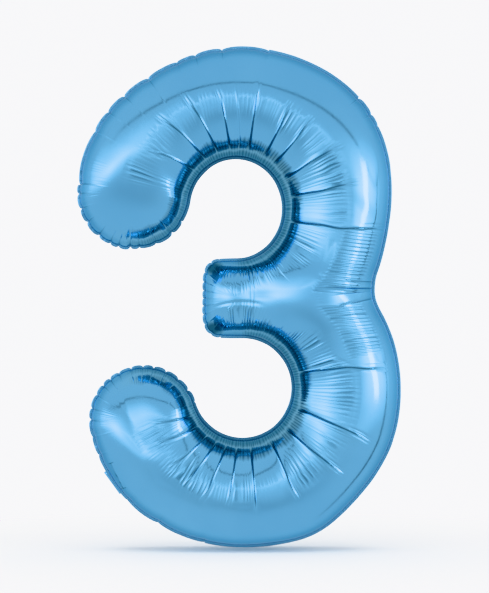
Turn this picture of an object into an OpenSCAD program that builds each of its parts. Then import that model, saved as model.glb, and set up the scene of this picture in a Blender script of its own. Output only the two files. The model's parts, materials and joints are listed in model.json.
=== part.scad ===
// Foil number balloon, the digit 3, inflated.
// Two foil panels are heat-sealed round their edge. A flat film valve runs through the seal
// into the gas space, and the tail that it is filled through folds flat behind the balloon.
// Millimetres. +Z is up, the digit faces -Y, the seal lies in the plane Y = 0, and the origin
// is at the middle of the lowest point's height line.

/* [Digit] */
// Overall height, seal flange included
balloon_h = 860; // [700:1:1040]
// Overall width, seal flange included
balloon_w = 556; // [450:1:670]
// Seam to seam width of the upper bowl's stroke
upper_stroke = 184; // [150:1:220]
// Seam to seam width of the lower bowl's stroke
lower_stroke = 179; // [150:1:220]
// Sideways place of the upper bowl's centre
upper_x = -6; // [-20:1:20]
// Sideways place of the lower bowl's centre
lower_x = 5; // [-20:1:20]
// Angle round the upper bowl at which its stroke ends
upper_end = 171; // [150:1:190]
// Angle round the lower bowl at which its stroke ends
lower_end = -162; // [-185:1:-140]

/* [Middle arm] */
// Seam to seam height of the arm
arm_h = 128; // [100:1:155]
// Length of the arm's blunt tip, from the upper bowl's centre line to the seam
arm_tip = 53; // [35:1:65]
// Height of the arm's axis above the middle of the digit
arm_rise = -2; // [-20:1:20]
// Squareness of the arm's tip: 2 is round, and more is squarer
tip_square = 4.4; // [2:0.1:6]
// How far the waist's fillet stands out of the corner between the two bowls
waist_fill = 13; // [4:1:30]
// Height of the waist above the arm's axis
waist_rise = 12; // [0:1:25]

/* [Foil] */
// Thickness of the foil as modelled
foil_t = 0.5; // [0.3:0.1:1]
// Width of the heat-sealed flange
flange_w = 5; // [3:0.5:9]
// Height of the inflated crest as a share of the stroke's half width
puff = 0.95; // [0.7:0.01:1.1]
// Extra height of the crest where the three strokes meet
junction_puff = 12; // [0:1:30]
// How much lower the crest is at the middle of a rounded end
end_drop = 10; // [0:1:25]

/* [Valve] */
// Width of the two valve films
valve_w = 30; // [20:1:40]
// Length of the valve films inside the gas space
valve_l = 95; // [60:1:130]
// Thickness of one valve film
film_t = 0.2; // [0.1:0.05:0.4]
// Angle round the lower bowl at which the valve passes the seal
valve_angle = -144; // [-150:1:-110]
// Width of the printed release patch that keeps the channel open through the seal
patch_w = 20; // [12:1:28]
// Thickness of the release patch
patch_t = 0.1; // [0.05:0.01:0.15]
// Gap between the edge of a valve film and the seal beside it
seal_gap = 0.1; // [0.05:0.05:0.5]

/* [Tail] */
// Width of the tail
tail_w = 46; // [36:1:60]
// Length of the tail beyond its crease
tail_l = 68; // [50:1:90]
// Length of the sealed strip across the tail's end
tail_tip_seal = 14; // [10:1:20]
// Corner radius of the tail's end
tail_corner = 7; // [3:1:12]
// Angle that the tail is folded back by, where 0 is straight out from the seal
tail_fold = 100; // [0:1:104]
// Distance from the flange to the crease's axis
crease_gap = 1.0; // [0.8:0.1:2]
// Distance from the crease's axis to the rigid part of the tail
crease_set = 1.6; // [1.3:0.1:3]
// Radius of the hole for a ribbon
ribbon_r = 2.5; // [1.5:0.1:4]
// Radius of the hole for the filling straw
straw_r = 4; // [3:0.1:6]
// Distance from the tail's end seal to the middle of the straw hole
straw_set = 12; // [8:1:20]

/* [Resolution] */
// Ribs along each bowl
bowl_ribs = 40; // [24:1:48]
// Ribs along the arm
arm_ribs = 7; // [4:1:10]
// Ribs round half of each rounded end
end_ribs = 9; // [6:1:12]
// Steps from the seam up to the crest
rib_steps = 8; // [5:1:9]

/* [Hidden] */
sky_blue = [0.35, 0.66, 0.88];
deep_blue = [0.22, 0.50, 0.72];
clear_film = [0.86, 0.90, 0.92];
print_white = [0.95, 0.95, 0.90];
hole_fn = 48;
past = 1; // how far a cut runs past the face that it opens

// Thickness of the seal, which is that of the two valve films that pass through it
seal_t = 2 * film_t;

// Driving heights and half widths of the seam line
arm_z = balloon_h / 2 + arm_rise;
outer_half_w = (balloon_w - 2 * flange_w - abs(lower_x - upper_x)) / 2;
upper_top = balloon_h - flange_w - upper_stroke;
lower_bottom = flange_w + lower_stroke;

// Each bowl is [centre, half size of its counter, stroke width]
upper = [
    [upper_x, (upper_top + arm_z + arm_h / 2) / 2],
    [outer_half_w - upper_stroke, (upper_top - arm_z - arm_h / 2) / 2],
    upper_stroke
];
lower = [
    [lower_x, (lower_bottom + arm_z - arm_h / 2) / 2],
    [outer_half_w - lower_stroke, (arm_z - arm_h / 2 - lower_bottom) / 2],
    lower_stroke
];

// Soft corners of the outer edge: [angle, height, width in degrees]
upper_bumps = [[39, 11, 28], [-10, -9, 24], [119, -5, 20], [153, 5, 21]];
lower_bumps = [[-63, 7, 13], [-138, 4, 15], [-21, 2, 14], [-172, -2, 10]];
junction_spread = 25; // degrees over which the crest rises towards the junction
end_spread = 22; // degrees over which the crest falls towards a rounded end
junction_shift = 18; // how far the junction lies beyond the two middle lines' meeting
waist_start = 23; // angle where each bowl's outer edge leaves its ellipse for the waist

function bump(a, at, width) = exp(-pow((a - at) / width, 2));
function bumps(list, a) = [for (b = list) b[1] * bump(a, b[0], b[2])] * [for (b = list) 1];
function smooth(t) = t * t * (3 - 2 * t);
function mix(a, b, t) = a + (b - a) * t;
function unit(v) = v / norm(v);

// A point of a bowl at angle a: offset 0 is the counter's seam, and the stroke's width is the outer one
function on_bowl(bowl, a, offset) = bowl[0]
    + [(bowl[1][0] + offset) * cos(a), (bowl[1][1] + offset) * sin(a)];
function bowl_tangent(bowl, a, offset) =
    unit([-(bowl[1][0] + offset) * sin(a), (bowl[1][1] + offset) * cos(a)]);
function bowl_inner(bowl, a) = on_bowl(bowl, a, 0);
function bowl_middle(bowl, a) = on_bowl(bowl, a, bowl[2] / 2);
function bowl_outer(bowl, bump_list, a) = on_bowl(bowl, a, bowl[2] + bumps(bump_list, a));

// Angle round a bowl's middle line at the height of the arm's axis
function junction_angle(bowl) = asin((arm_z - bowl[0][1]) / (bowl[1][1] + bowl[2] / 2));
upper_junction = junction_angle(upper);
lower_junction = junction_angle(lower);
junction_x = (bowl_middle(upper, upper_junction)[0] + bowl_middle(lower, lower_junction)[0]) / 2
    + junction_shift;
junction = [junction_x, arm_z];

// The middle line of each bowl's stroke, drawn to the junction at its end
function middle_line(bowl, at_junction, a) = bowl_middle(bowl, a)
    + (junction - bowl_middle(bowl, at_junction)) * bump(a, at_junction, junction_spread);

// The waist: each bowl's outer edge bends into a fillet that stands out of their corner
waist_corner_x = (on_bowl(upper, upper_junction, upper_stroke)[0]
    + on_bowl(lower, lower_junction, lower_stroke)[0]) / 2;
upper_leave = bowl_outer(upper, upper_bumps, -waist_start);
lower_leave = bowl_outer(lower, lower_bumps, waist_start);
waist = [min(upper_leave[0], lower_leave[0]) - waist_fill / 2, arm_z + waist_rise];
function cubic(p0, p1, p2, p3, t) = pow(1 - t, 3) * p0 + 3 * pow(1 - t, 2) * t * p1
    + 3 * (1 - t) * t * t * p2 + t * t * t * p3;
function waist_curve(from, direction, t) =
    let (reach = norm(waist - from) / 3, side = sign(from[1] - waist[1]))
    cubic(from, from + direction * reach, waist + [0, side * reach], waist, t);
function outer_edge(bowl, bump_list, at_junction, a) =
    let (side = sign(at_junction), past_leave = side * a - waist_start)
    past_leave <= 0
        ? bowl_outer(bowl, bump_list, a)
        : waist_curve(bowl_outer(bowl, bump_list, side * waist_start),
            side * bowl_tangent(bowl, side * waist_start, bowl[2]),
            past_leave / (side * at_junction - waist_start));

// Angles of the ribs round each bowl, from its end to the junction
upper_angles = [for (i = [0:bowl_ribs]) mix(upper_end, upper_junction, i / bowl_ribs)];
lower_angles = [for (i = [0:bowl_ribs]) mix(lower_end, lower_junction, i / bowl_ribs)];

// The crest line, as [x, z, height over the seal], listed once and shared by the ribs of both sides
function crest_rise(a, at_junction, at_end) = junction_puff * bump(a, at_junction, junction_spread)
    - end_drop * bump(a, at_end, end_spread);
upper_crest = [for (a = upper_angles)
    concat(middle_line(upper, upper_junction, a),
        puff * upper_stroke / 2 + crest_rise(a, upper_junction, upper_end))];
lower_crest = [for (a = lower_angles)
    concat(middle_line(lower, lower_junction, a),
        puff * lower_stroke / 2 + crest_rise(a, lower_junction, lower_end))];
junction_h = puff * (upper_stroke + lower_stroke) / 4 + junction_puff;
arm_crest = [for (i = [1:arm_ribs])
    [mix(junction[0], upper_x, i / arm_ribs), arm_z,
        mix(junction_h, puff * arm_h / 2, smooth(i / arm_ribs))]];
crest = concat(
    [for (i = [0:bowl_ribs - 1]) upper_crest[i]],
    [concat(junction, junction_h)],
    [for (i = [bowl_ribs - 1:-1:0]) lower_crest[i]],
    arm_crest
);
at_upper_end = 0;
at_junction = bowl_ribs;
at_lower_end = 2 * bowl_ribs;
at_arm_end = len(crest) - 1;

// Ribs of the seam line, as [x, z, index of the crest point that the rib runs to]
function rib(point, index) = [point[0], point[1], index];
function end_point(middle, side, tip, b) = middle + (side - middle) * cos(b)
    + tip * norm(side - middle) * sin(b);
end_angles = [for (i = [1:end_ribs]) 90 * i / end_ribs];
upper_tip = bowl_tangent(upper, upper_end, upper_stroke / 2);
lower_tip = -bowl_tangent(lower, lower_end, lower_stroke / 2);
function tip_radius(b) = let (n = tip_square)
    pow(pow(abs(cos(b)) / arm_tip, n) + pow(abs(sin(b)) / (arm_h / 2), n), -1 / n);
function tip_point(b) = [upper_x, arm_z] + tip_radius(b) * [cos(b), sin(b)];

outer_ribs = concat(
    [for (i = [end_ribs - 1:-1:0]) rib(end_point(bowl_middle(upper, upper_end),
        bowl_outer(upper, upper_bumps, upper_end), upper_tip, end_angles[i]), at_upper_end)],
    [for (i = [0:bowl_ribs])
        rib(outer_edge(upper, upper_bumps, upper_junction, upper_angles[i]), i)],
    [for (i = [bowl_ribs - 1:-1:0])
        rib(outer_edge(lower, lower_bumps, lower_junction, lower_angles[i]), at_lower_end - i)],
    [for (i = [0:end_ribs - 1]) rib(end_point(bowl_middle(lower, lower_end),
        bowl_outer(lower, lower_bumps, lower_end), lower_tip, end_angles[i]), at_lower_end)]
);
lower_counter_ribs = concat(
    [for (i = [end_ribs - 2:-1:0]) rib(end_point(bowl_middle(lower, lower_end),
        bowl_inner(lower, lower_end), lower_tip, end_angles[i]), at_lower_end)],
    [for (i = [0:bowl_ribs]) rib(bowl_inner(lower, lower_angles[i]), at_lower_end - i)],
    [for (i = [1:arm_ribs])
        rib(bowl_inner(lower, mix(lower_junction, 90, i / arm_ribs)), at_lower_end + i)]
);
tip_ribs = [for (b = [-90:-90 / end_ribs:-270.01]) rib(tip_point(b), at_arm_end)];
upper_counter_ribs = concat(
    [for (i = [arm_ribs - 1:-1:1])
        rib(bowl_inner(upper, mix(upper_junction, -90, i / arm_ribs)), at_lower_end + i)],
    [for (i = [bowl_ribs:-1:0]) rib(bowl_inner(upper, upper_angles[i]), i)],
    [for (i = [0:end_ribs - 2]) rib(end_point(bowl_middle(upper, upper_end),
        bowl_inner(upper, upper_end), upper_tip, end_angles[i]), at_upper_end)]
);
ribs = concat(outer_ribs, lower_counter_ribs, tip_ribs, upper_counter_ribs);
n_ribs = len(ribs);

// The closed seam line, and the flange's free edge a flange width outside it
seam = [for (r = ribs) [r[0], r[1]]];
function outward(i) = let (along = unit(seam[(i + 1) % n_ribs] - seam[(i + n_ribs - 1) % n_ribs]))
    [-along[1], along[0]];
flange = [for (i = [0:n_ribs - 1]) seam[i] + flange_w * outward(i)];

// One skin of the front panel: its flange, then quarter ellipses from the seam up to the crest
function skin_points(inset, base) = [for (i = [0:n_ribs - 1])
    let (top = crest[ribs[i][2]], crown = [top[0], top[1]],
        foot = seam[i] + unit(crown - seam[i]) * inset)
    for (k = [-1:rib_steps - 1])
        let (lift = 90 * k / rib_steps,
            p = k < 0 ? flange[i] : foot + (crown - foot) * (1 - cos(lift)),
            h = k < 0 ? 0 : top[2] * sin(lift))
        [p[0], -(base + h), p[1]]];
function crest_points(base) = [for (c = crest) [c[0], -(base + c[2]), c[1]]];

rows = rib_steps + 1;
crest_start = 2 * n_ribs * rows;
function at(skin, i, k) = (skin * n_ribs + i % n_ribs) * rows + k;
function crest_at(skin, i) = crest_start + skin * len(crest) + ribs[i % n_ribs][2];
function skin_faces(skin) = [for (i = [0:n_ribs - 1]) each concat(
    [for (k = [0:rows - 2]) [at(skin, i, k), at(skin, i + 1, k), at(skin, i + 1, k + 1)]],
    [for (k = [0:rows - 2]) [at(skin, i, k), at(skin, i + 1, k + 1), at(skin, i, k + 1)]],
    [[at(skin, i, rows - 1), at(skin, i + 1, rows - 1), crest_at(skin, i + 1)]],
    crest_at(skin, i) == crest_at(skin, i + 1) ? []
        : [[at(skin, i, rows - 1), crest_at(skin, i + 1), crest_at(skin, i)]]
)];
function turned(faces) = [for (f = faces) [f[2], f[1], f[0]]];
edge_faces = [for (i = [0:n_ribs - 1]) each [
    [at(0, i, 0), at(1, i, 0), at(1, i + 1, 0)],
    [at(0, i, 0), at(1, i + 1, 0), at(0, i + 1, 0)]
]];

module panel_shell() {
    polyhedron(
        points = concat(skin_points(0, seal_t / 2 + foil_t), skin_points(foil_t, seal_t / 2),
            crest_points(seal_t / 2 + foil_t), crest_points(seal_t / 2)),
        faces = concat(skin_faces(0), turned(skin_faces(1)), edge_faces),
        convexity = 10
    );
}

// Stands a shape drawn in X and Z upright, with its thickness centred on the seal's plane
module upright(thickness) {
    rotate([90, 0, 0]) linear_extrude(thickness, center = true) children();
}

// The place where the valve passes the seal: local +X points out of the balloon, and +Y back
valve_seam = bowl_outer(lower, lower_bumps, valve_angle);
valve_turn = atan2((lower[1][0] + lower_stroke) * sin(valve_angle),
    (lower[1][1] + lower_stroke) * cos(valve_angle));
outer_reach = outer_half_w;
film_end = flange_w - (outer_reach - sqrt(pow(outer_reach, 2) - pow(valve_w / 2, 2)));
module at_valve() {
    translate([valve_seam[0], 0, valve_seam[1]]) rotate([0, -valve_turn, 0]) children();
}
// A flat slab from x0 to x1 and y0 to y1 in the valve's frame, centred on its middle line
module slab(x0, x1, y0, y1, width) {
    translate([x0, y0, -width / 2]) cube([x1 - x0, y1 - y0, width]);
}

module front_panel() {
    color(sky_blue) panel_shell();
}

module back_panel() {
    color(sky_blue) mirror([0, 1, 0]) panel_shell();
}

module heat_seal() {
    color(deep_blue) difference() {
        upright(seal_t) difference() {
            polygon(flange);
            polygon(seam);
        }
        at_valve() slab(-flange_w, 2 * flange_w, -seal_t, seal_t, valve_w + 2 * seal_gap);
    }
}

module release_patch_shape() {
    slab(-2 * flange_w, film_end, -patch_t, 0, patch_w);
}

module valve_front_film() {
    color(clear_film) at_valve() difference() {
        slab(-valve_l, film_end, -film_t, 0, valve_w);
        release_patch_shape();
    }
}

module valve_back_film() {
    color(clear_film) at_valve() slab(-valve_l, film_end, 0, film_t, valve_w);
}

module valve_release_patch() {
    color(print_white) at_valve() release_patch_shape();
}

// The tail is drawn straight out from its crease, then folded back about it
crease_x = flange_w + crease_gap;
tail_outside = film_t + foil_t;
ribbon_x = tail_l - tail_tip_seal / 2;
straw_x = tail_l - tail_tip_seal - straw_set;
module at_tail() {
    at_valve() translate([crease_x, 0, 0]) rotate([0, 0, tail_fold]) children();
}
module tail_outline() {
    translate([crease_set, -tail_w / 2]) square([tail_l - crease_set - tail_corner, tail_w]);
    translate([crease_set, -tail_w / 2 + tail_corner])
        square([tail_l - crease_set, tail_w - 2 * tail_corner]);
    for (side = [-1, 1])
        translate([tail_l - tail_corner, side * (tail_w / 2 - tail_corner)])
            circle(tail_corner, $fn = hole_fn);
}
// A sheet of the tail, from y0 to y1 through its thickness
module tail_sheet(y0, y1) {
    translate([0, y1, 0]) rotate([90, 0, 0]) linear_extrude(y1 - y0) children();
}
module ribbon_hole() {
    translate([ribbon_x, 0]) circle(ribbon_r, $fn = hole_fn);
}
module straw_hole() {
    translate([straw_x, 0]) circle(straw_r, $fn = hole_fn);
}
module tail_channel(width) {
    translate([0, -width / 2]) square([tail_l - tail_tip_seal, width]);
}

module tail_front_foil() {
    color(sky_blue) at_tail() tail_sheet(-tail_outside, -film_t) difference() {
        tail_outline();
        ribbon_hole();
        straw_hole();
    }
}

module tail_back_foil() {
    color(sky_blue) at_tail() tail_sheet(film_t, tail_outside) difference() {
        tail_outline();
        ribbon_hole();
    }
}

module tail_seal() {
    color(deep_blue) at_tail() tail_sheet(-film_t, film_t) difference() {
        tail_outline();
        ribbon_hole();
        tail_channel(valve_w + 2 * seal_gap);
    }
}

module tail_valve_front_film() {
    color(clear_film) at_tail() tail_sheet(-film_t, 0) difference() {
        translate([crease_set, -valve_w / 2])
            square([tail_l - tail_tip_seal - seal_gap - crease_set, valve_w]);
        straw_hole();
    }
}

module tail_valve_back_film() {
    color(clear_film) at_tail() tail_sheet(0, film_t)
        translate([crease_set, -valve_w / 2])
            square([tail_l - tail_tip_seal - seal_gap - crease_set, valve_w]);
}

front_panel();
back_panel();
heat_seal();
valve_front_film();
valve_back_film();
valve_release_patch();
tail_front_foil();
tail_back_foil();
tail_seal();
tail_valve_front_film();
tail_valve_back_film();
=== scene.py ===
import json
import math
from collections import namedtuple

import bmesh
import bpy
import numpy as np
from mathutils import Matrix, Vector


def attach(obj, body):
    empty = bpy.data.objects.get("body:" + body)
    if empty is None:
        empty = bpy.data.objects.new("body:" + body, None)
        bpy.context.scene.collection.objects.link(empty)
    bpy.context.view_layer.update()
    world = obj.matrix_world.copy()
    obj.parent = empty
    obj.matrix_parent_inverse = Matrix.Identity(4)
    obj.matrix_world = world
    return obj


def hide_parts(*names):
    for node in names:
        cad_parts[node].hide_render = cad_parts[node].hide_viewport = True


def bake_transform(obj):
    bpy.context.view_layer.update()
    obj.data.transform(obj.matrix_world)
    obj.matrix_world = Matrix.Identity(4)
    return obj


bl_info = {
    "name": "Foil Number Balloon",
    "version": (1, 0, 0),
    "blender": (4, 5, 0),
    "location": "View3D > Sidebar > Balloon",
    "description": "Builds the foils, the sealed edge and the folded tail of a number balloon",
    "category": "Add Mesh",
}

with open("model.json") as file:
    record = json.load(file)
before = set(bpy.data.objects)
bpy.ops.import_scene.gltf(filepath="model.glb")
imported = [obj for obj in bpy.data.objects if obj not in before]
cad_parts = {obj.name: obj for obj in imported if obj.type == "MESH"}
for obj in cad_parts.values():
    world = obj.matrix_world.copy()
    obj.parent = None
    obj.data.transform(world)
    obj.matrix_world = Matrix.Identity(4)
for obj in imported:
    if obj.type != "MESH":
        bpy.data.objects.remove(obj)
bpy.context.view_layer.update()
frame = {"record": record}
FOLD_JOINT = frame["record"]["behaviour"]["joints"][0]
TAIL_FOLD = 100  # degrees that the tail is folded back by at rest
MM = 0.001  # the shape is worked out in millimetres and meshed in metres


# ---------------------------------------------------------------- settings

class BalloonShape(bpy.types.PropertyGroup):
    height: bpy.props.FloatProperty(
        name="Height", description="Overall height of the digit", default=0.860, unit="LENGTH")
    width: bpy.props.FloatProperty(
        name="Width", description="Overall width of the digit", default=0.556, unit="LENGTH")
    flange: bpy.props.FloatProperty(
        name="Flange", description="Width of the heat-sealed edge", default=0.005, unit="LENGTH")
    puff: bpy.props.FloatProperty(
        name="Puff", description="Height of the crest as a share of the stroke's half width",
        default=0.95, subtype="FACTOR")
    crease_depth: bpy.props.FloatProperty(
        name="Crease depth", description="Depth of the main creases round each bowl",
        default=0.0024, unit="LENGTH")
    gore_rise: bpy.props.FloatProperty(
        name="Gore rise", description="How far the foil bulges between two main creases",
        default=0.0009, unit="LENGTH")
    pleat_depth: bpy.props.FloatProperty(
        name="Pleat depth", description="Height of the fine pleats", default=0.00065, unit="LENGTH")
    pucker_depth: bpy.props.FloatProperty(
        name="Pucker depth", description="Depth of the short creases that run in from the seal",
        default=0.0024, unit="LENGTH")


class BalloonLook(bpy.types.PropertyGroup):
    foil: bpy.props.FloatVectorProperty(
        name="Foil", description="Colour of the metallised foil", subtype="COLOR",
        size=3, default=(0.176, 0.486, 0.790), min=0, max=1)
    foil_shade: bpy.props.FloatVectorProperty(
        name="Foil shade", description="Colour of the foil where its print is denser",
        subtype="COLOR", size=3, default=(0.160, 0.456, 0.760), min=0, max=1)
    film: bpy.props.FloatVectorProperty(
        name="Valve film", description="Colour of the clear valve film", subtype="COLOR",
        size=3, default=(0.80, 0.86, 0.90), min=0, max=1)
    release_print: bpy.props.FloatVectorProperty(
        name="Release print", description="Colour of the heat-resistant print", subtype="COLOR",
        size=3, default=(0.86, 0.86, 0.82), min=0, max=1)
    roughness: bpy.props.FloatProperty(
        name="Roughness", description="Roughness of the foil", default=0.09, subtype="FACTOR")


class StudioLook(bpy.types.PropertyGroup):
    backdrop: bpy.props.FloatVectorProperty(
        name="Backdrop", description="Pale colour behind the balloon", subtype="COLOR",
        size=3, default=(1.66, 1.66, 1.69), min=0, max=4)
    room: bpy.props.FloatProperty(
        name="Room light", description="Brightness of the room that the foil reflects",
        default=0.925)
    lens: bpy.props.FloatProperty(
        name="Lens", description="Focal length of the camera", default=0.180, unit="CAMERA")


# ---------------------------------------------------------------- outline

def sin_deg(a):
    return np.sin(np.radians(a))


def cos_deg(a):
    return np.cos(np.radians(a))


def bell(a, at, width):
    """A bell curve, 1 at one place and near 0 two widths away from it."""
    return np.exp(-((a - at) / width) ** 2)


def smooth(t):
    """0 below 0, 1 above 1, and a soft step between."""
    t = np.clip(t, 0.0, 1.0)
    return t * t * (3 - 2 * t)


def ramp(x, low, high):
    """0 below low, 1 above high, and a soft step between."""
    return smooth((x - low) / (high - low))


def unit(v):
    return v / np.linalg.norm(v, axis=-1, keepdims=True)


class Bowl:
    """One bowl of the digit: an elliptical counter with a stroke of even width round it.

    Places on it are an angle in degrees and a distance out from the counter. Its corners are
    (angle, how far the outer edge stands out there, spread in degrees); end is the angle at which
    the stroke ends, and side is 1 for the upper bowl and -1 for the lower.
    """

    def __init__(self, centre, counter, stroke, corners, end, side):
        self.centre = np.array(centre, float)
        self.counter = np.array(counter, float)
        self.stroke = stroke
        self.corners = corners
        self.end = end
        self.side = side

    def at(self, a, offset):
        a = np.asarray(a, float)
        return self.centre + np.stack([
            (self.counter[0] + offset) * cos_deg(a), (self.counter[1] + offset) * sin_deg(a)], -1)

    def tangent(self, a, offset):
        a = np.asarray(a, float)
        return unit(np.stack([
            -(self.counter[0] + offset) * sin_deg(a), (self.counter[1] + offset) * cos_deg(a)], -1))

    def inner(self, a):
        return self.at(a, 0)

    def middle(self, a):
        return self.at(a, self.stroke / 2)

    def outer(self, a):
        a = np.asarray(a, float)
        return self.at(a, self.stroke + sum(h * bell(a, at, w) for at, h, w in self.corners))

    def polar(self, points):
        """Angle in degrees, and place across the stroke, from 0 at the counter to 1 outside."""
        d = points - self.centre
        a = np.degrees(np.arctan2(d[:, 1] / (self.counter[1] + self.stroke / 2),
                                  d[:, 0] / (self.counter[0] + self.stroke / 2)))
        inner = np.linalg.norm(self.inner(a) - self.centre, axis=1)
        return a, (np.linalg.norm(d, axis=1) - inner) / self.stroke


# Stretches of the outline, in the order in which the seam runs through them
(UPPER_END_OUT, UPPER_OUTER, LOWER_OUTER, LOWER_END_OUT, LOWER_END_IN, LOWER_INNER,
 ARM_FOOT, ARM_END, ARM_TOP, UPPER_INNER, UPPER_END_IN) = range(11)


class Digit:
    """The outline and the crest line of the digit 3, with the same sizes as the solid model."""

    ARM_H = 128.0
    ARM_TIP = 53.0  # length of the arm past the middle of the upper bowl
    TIP_SQUARE = 4.4  # power of the rounded square at the arm's tip; 2 would be round
    WAIST_FILL = 13.0
    WAIST_RISE = 12.0
    WAIST_START = 23.0  # angle round each bowl at which the waist's fillet starts
    JUNCTION_PUFF = 12.0  # how much higher the crest is where the strokes meet
    JUNCTION_SPREAD = 25.0
    JUNCTION_SHIFT = 18.0
    END_FALL = {1: 0.13, -1: 0.12}  # how fast the crest falls towards each bowl's end
    END_START = 26.0  # degrees before the end at which it starts to fall
    UPPER = dict(x=-6.0, stroke=184.0, end=171.0,
                 corners=[(39, 11, 28), (-10, -9, 24), (119, -5, 20), (153, 5, 21)])
    LOWER = dict(x=5.0, stroke=179.0, end=-162.0,
                 corners=[(-63, 7, 13), (-138, 4, 15), (-21, 2, 14), (-172, -2, 10)])

    def __init__(self, shape):
        h, w, flange = shape.height / MM, shape.width / MM, shape.flange / MM
        self.flange, self.puff = flange, shape.puff
        self.arm_z = h / 2 - 2
        up, low = self.UPPER, self.LOWER
        half = (w - 2 * flange - abs(low["x"] - up["x"])) / 2
        top, bottom = h - flange - up["stroke"], flange + low["stroke"]
        arm_top, arm_foot = self.arm_z + self.ARM_H / 2, self.arm_z - self.ARM_H / 2
        self.upper = Bowl((up["x"], (top + arm_top) / 2),
                          (half - up["stroke"], (top - arm_top) / 2),
                          up["stroke"], up["corners"], up["end"], 1)
        self.lower = Bowl((low["x"], (bottom + arm_foot) / 2),
                          (half - low["stroke"], (arm_foot - bottom) / 2),
                          low["stroke"], low["corners"], low["end"], -1)
        for bowl in (self.upper, self.lower):
            bowl.join = math.degrees(math.asin(
                (self.arm_z - bowl.centre[1]) / (bowl.counter[1] + bowl.stroke / 2)))
        self.junction = np.array([
            (self.upper.middle(self.upper.join)[0] + self.lower.middle(self.lower.join)[0]) / 2
            + self.JUNCTION_SHIFT, self.arm_z])
        leave = [self.upper.outer(-self.WAIST_START), self.lower.outer(self.WAIST_START)]
        self.waist = np.array([min(p[0] for p in leave) - self.WAIST_FILL / 2,
                               self.arm_z + self.WAIST_RISE])

    def crest(self, bowl, a):
        """The crest line's plan, and its height over the seal."""
        near = bell(a, bowl.join, self.JUNCTION_SPREAD)
        plan = bowl.middle(a) + (self.junction - bowl.middle(bowl.join)) * near[:, None]
        return plan, self.puff * bowl.stroke / 2 + self.JUNCTION_PUFF * near

    def outer_edge(self, bowl, a):
        """The bowl's outer edge, bent into the waist's fillet near the junction."""
        side = -bowl.side
        past = side * a - self.WAIST_START
        start = bowl.outer(side * self.WAIST_START)
        heading = side * bowl.tangent(side * self.WAIST_START, bowl.stroke)
        reach = np.linalg.norm(self.waist - start) / 3
        t = np.clip(past / (side * bowl.join - self.WAIST_START), 0, 1)[:, None]
        control = self.waist + np.array([0, bowl.side * reach])
        fillet = ((1 - t) ** 3 * start + 3 * (1 - t) ** 2 * t * (start + heading * reach)
                  + 3 * (1 - t) * t ** 2 * control + t ** 3 * self.waist)
        return np.where(past[:, None] > 0, fillet, bowl.outer(a))

    def ribs(self, n_bowl, n_arm, n_end):
        """Seam points, the crest point that each runs to and its stretch, round the outline."""
        up, low = self.upper, self.lower
        share = np.arange(n_bowl + 1) / n_bowl
        up_a = up.end + (up.join - up.end) * share
        low_a = low.end + (low.join - low.end) * share
        up_plan, up_rise = self.crest(up, up_a)
        low_plan, low_rise = self.crest(low, low_a)
        along = np.arange(1, n_arm + 1) / n_arm
        arm_plan = np.stack([self.junction[0] + (up.centre[0] - self.junction[0]) * along,
                             np.full(n_arm, self.arm_z)], 1)
        high = self.puff * (up.stroke + low.stroke) / 4 + self.JUNCTION_PUFF
        arm_rise = high + (self.puff * self.ARM_H / 2 - high) * smooth(along)
        crest = np.concatenate([up_plan[:-1], [self.junction], low_plan[:-1][::-1], arm_plan])
        rise = np.concatenate([up_rise[:-1], [high], low_rise[:-1][::-1], arm_rise])
        last_low, last_arm = 2 * n_bowl, len(crest) - 1

        def cap(bowl, edge, tip, angles):
            middle = bowl.middle(bowl.end)
            arm = edge - middle
            return (middle + arm * cos_deg(angles)[:, None]
                    + tip * np.linalg.norm(arm) * sin_deg(angles)[:, None])

        quarter = 90 * np.arange(1, n_end + 1) / n_end
        up_tip = up.tangent(up.end, up.stroke / 2)
        low_tip = -low.tangent(low.end, low.stroke / 2)
        b = np.linspace(-90, -270, 2 * n_end + 1)[1:-1]
        n = self.TIP_SQUARE
        radius = ((np.abs(cos_deg(b)) / self.ARM_TIP) ** n
                  + (np.abs(sin_deg(b)) / (self.ARM_H / 2)) ** n) ** (-1 / n)
        tip = (np.array([up.centre[0], self.arm_z])
               + radius[:, None] * np.stack([cos_deg(b), sin_deg(b)], 1))
        low_arm_a = low.join + (90 - low.join) * along
        up_arm_a = up.join + (-90 - up.join) * along
        parts = [
            (cap(up, up.outer(up.end), up_tip, quarter[::-1]), np.zeros(n_end)),
            (self.outer_edge(up, up_a), np.arange(n_bowl + 1)),
            (self.outer_edge(low, low_a)[:-1][::-1], n_bowl + 1 + np.arange(n_bowl)),
            (cap(low, low.outer(low.end), low_tip, quarter), np.full(n_end, last_low)),
            (cap(low, low.inner(low.end), low_tip, quarter[:-1][::-1]),
             np.full(n_end - 1, last_low)),
            (low.inner(low_a), last_low - np.arange(n_bowl + 1)),
            (low.inner(low_arm_a), last_low + np.arange(1, n_arm + 1)),
            (tip, np.full(len(tip), last_arm)),
            (up.inner(up_arm_a)[::-1], last_low + np.arange(n_arm, 0, -1)),
            (up.inner(up_a)[::-1], np.arange(n_bowl, -1, -1)),
            (cap(up, up.inner(up.end), up_tip, quarter[:-1]), np.zeros(n_end - 1)),
        ]
        seam = np.concatenate([p for p, _ in parts])
        index = np.concatenate([i for _, i in parts]).astype(int)
        part = np.concatenate([np.full(len(p), k) for k, (p, _) in enumerate(parts)])
        return seam, index, crest, rise, part


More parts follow.
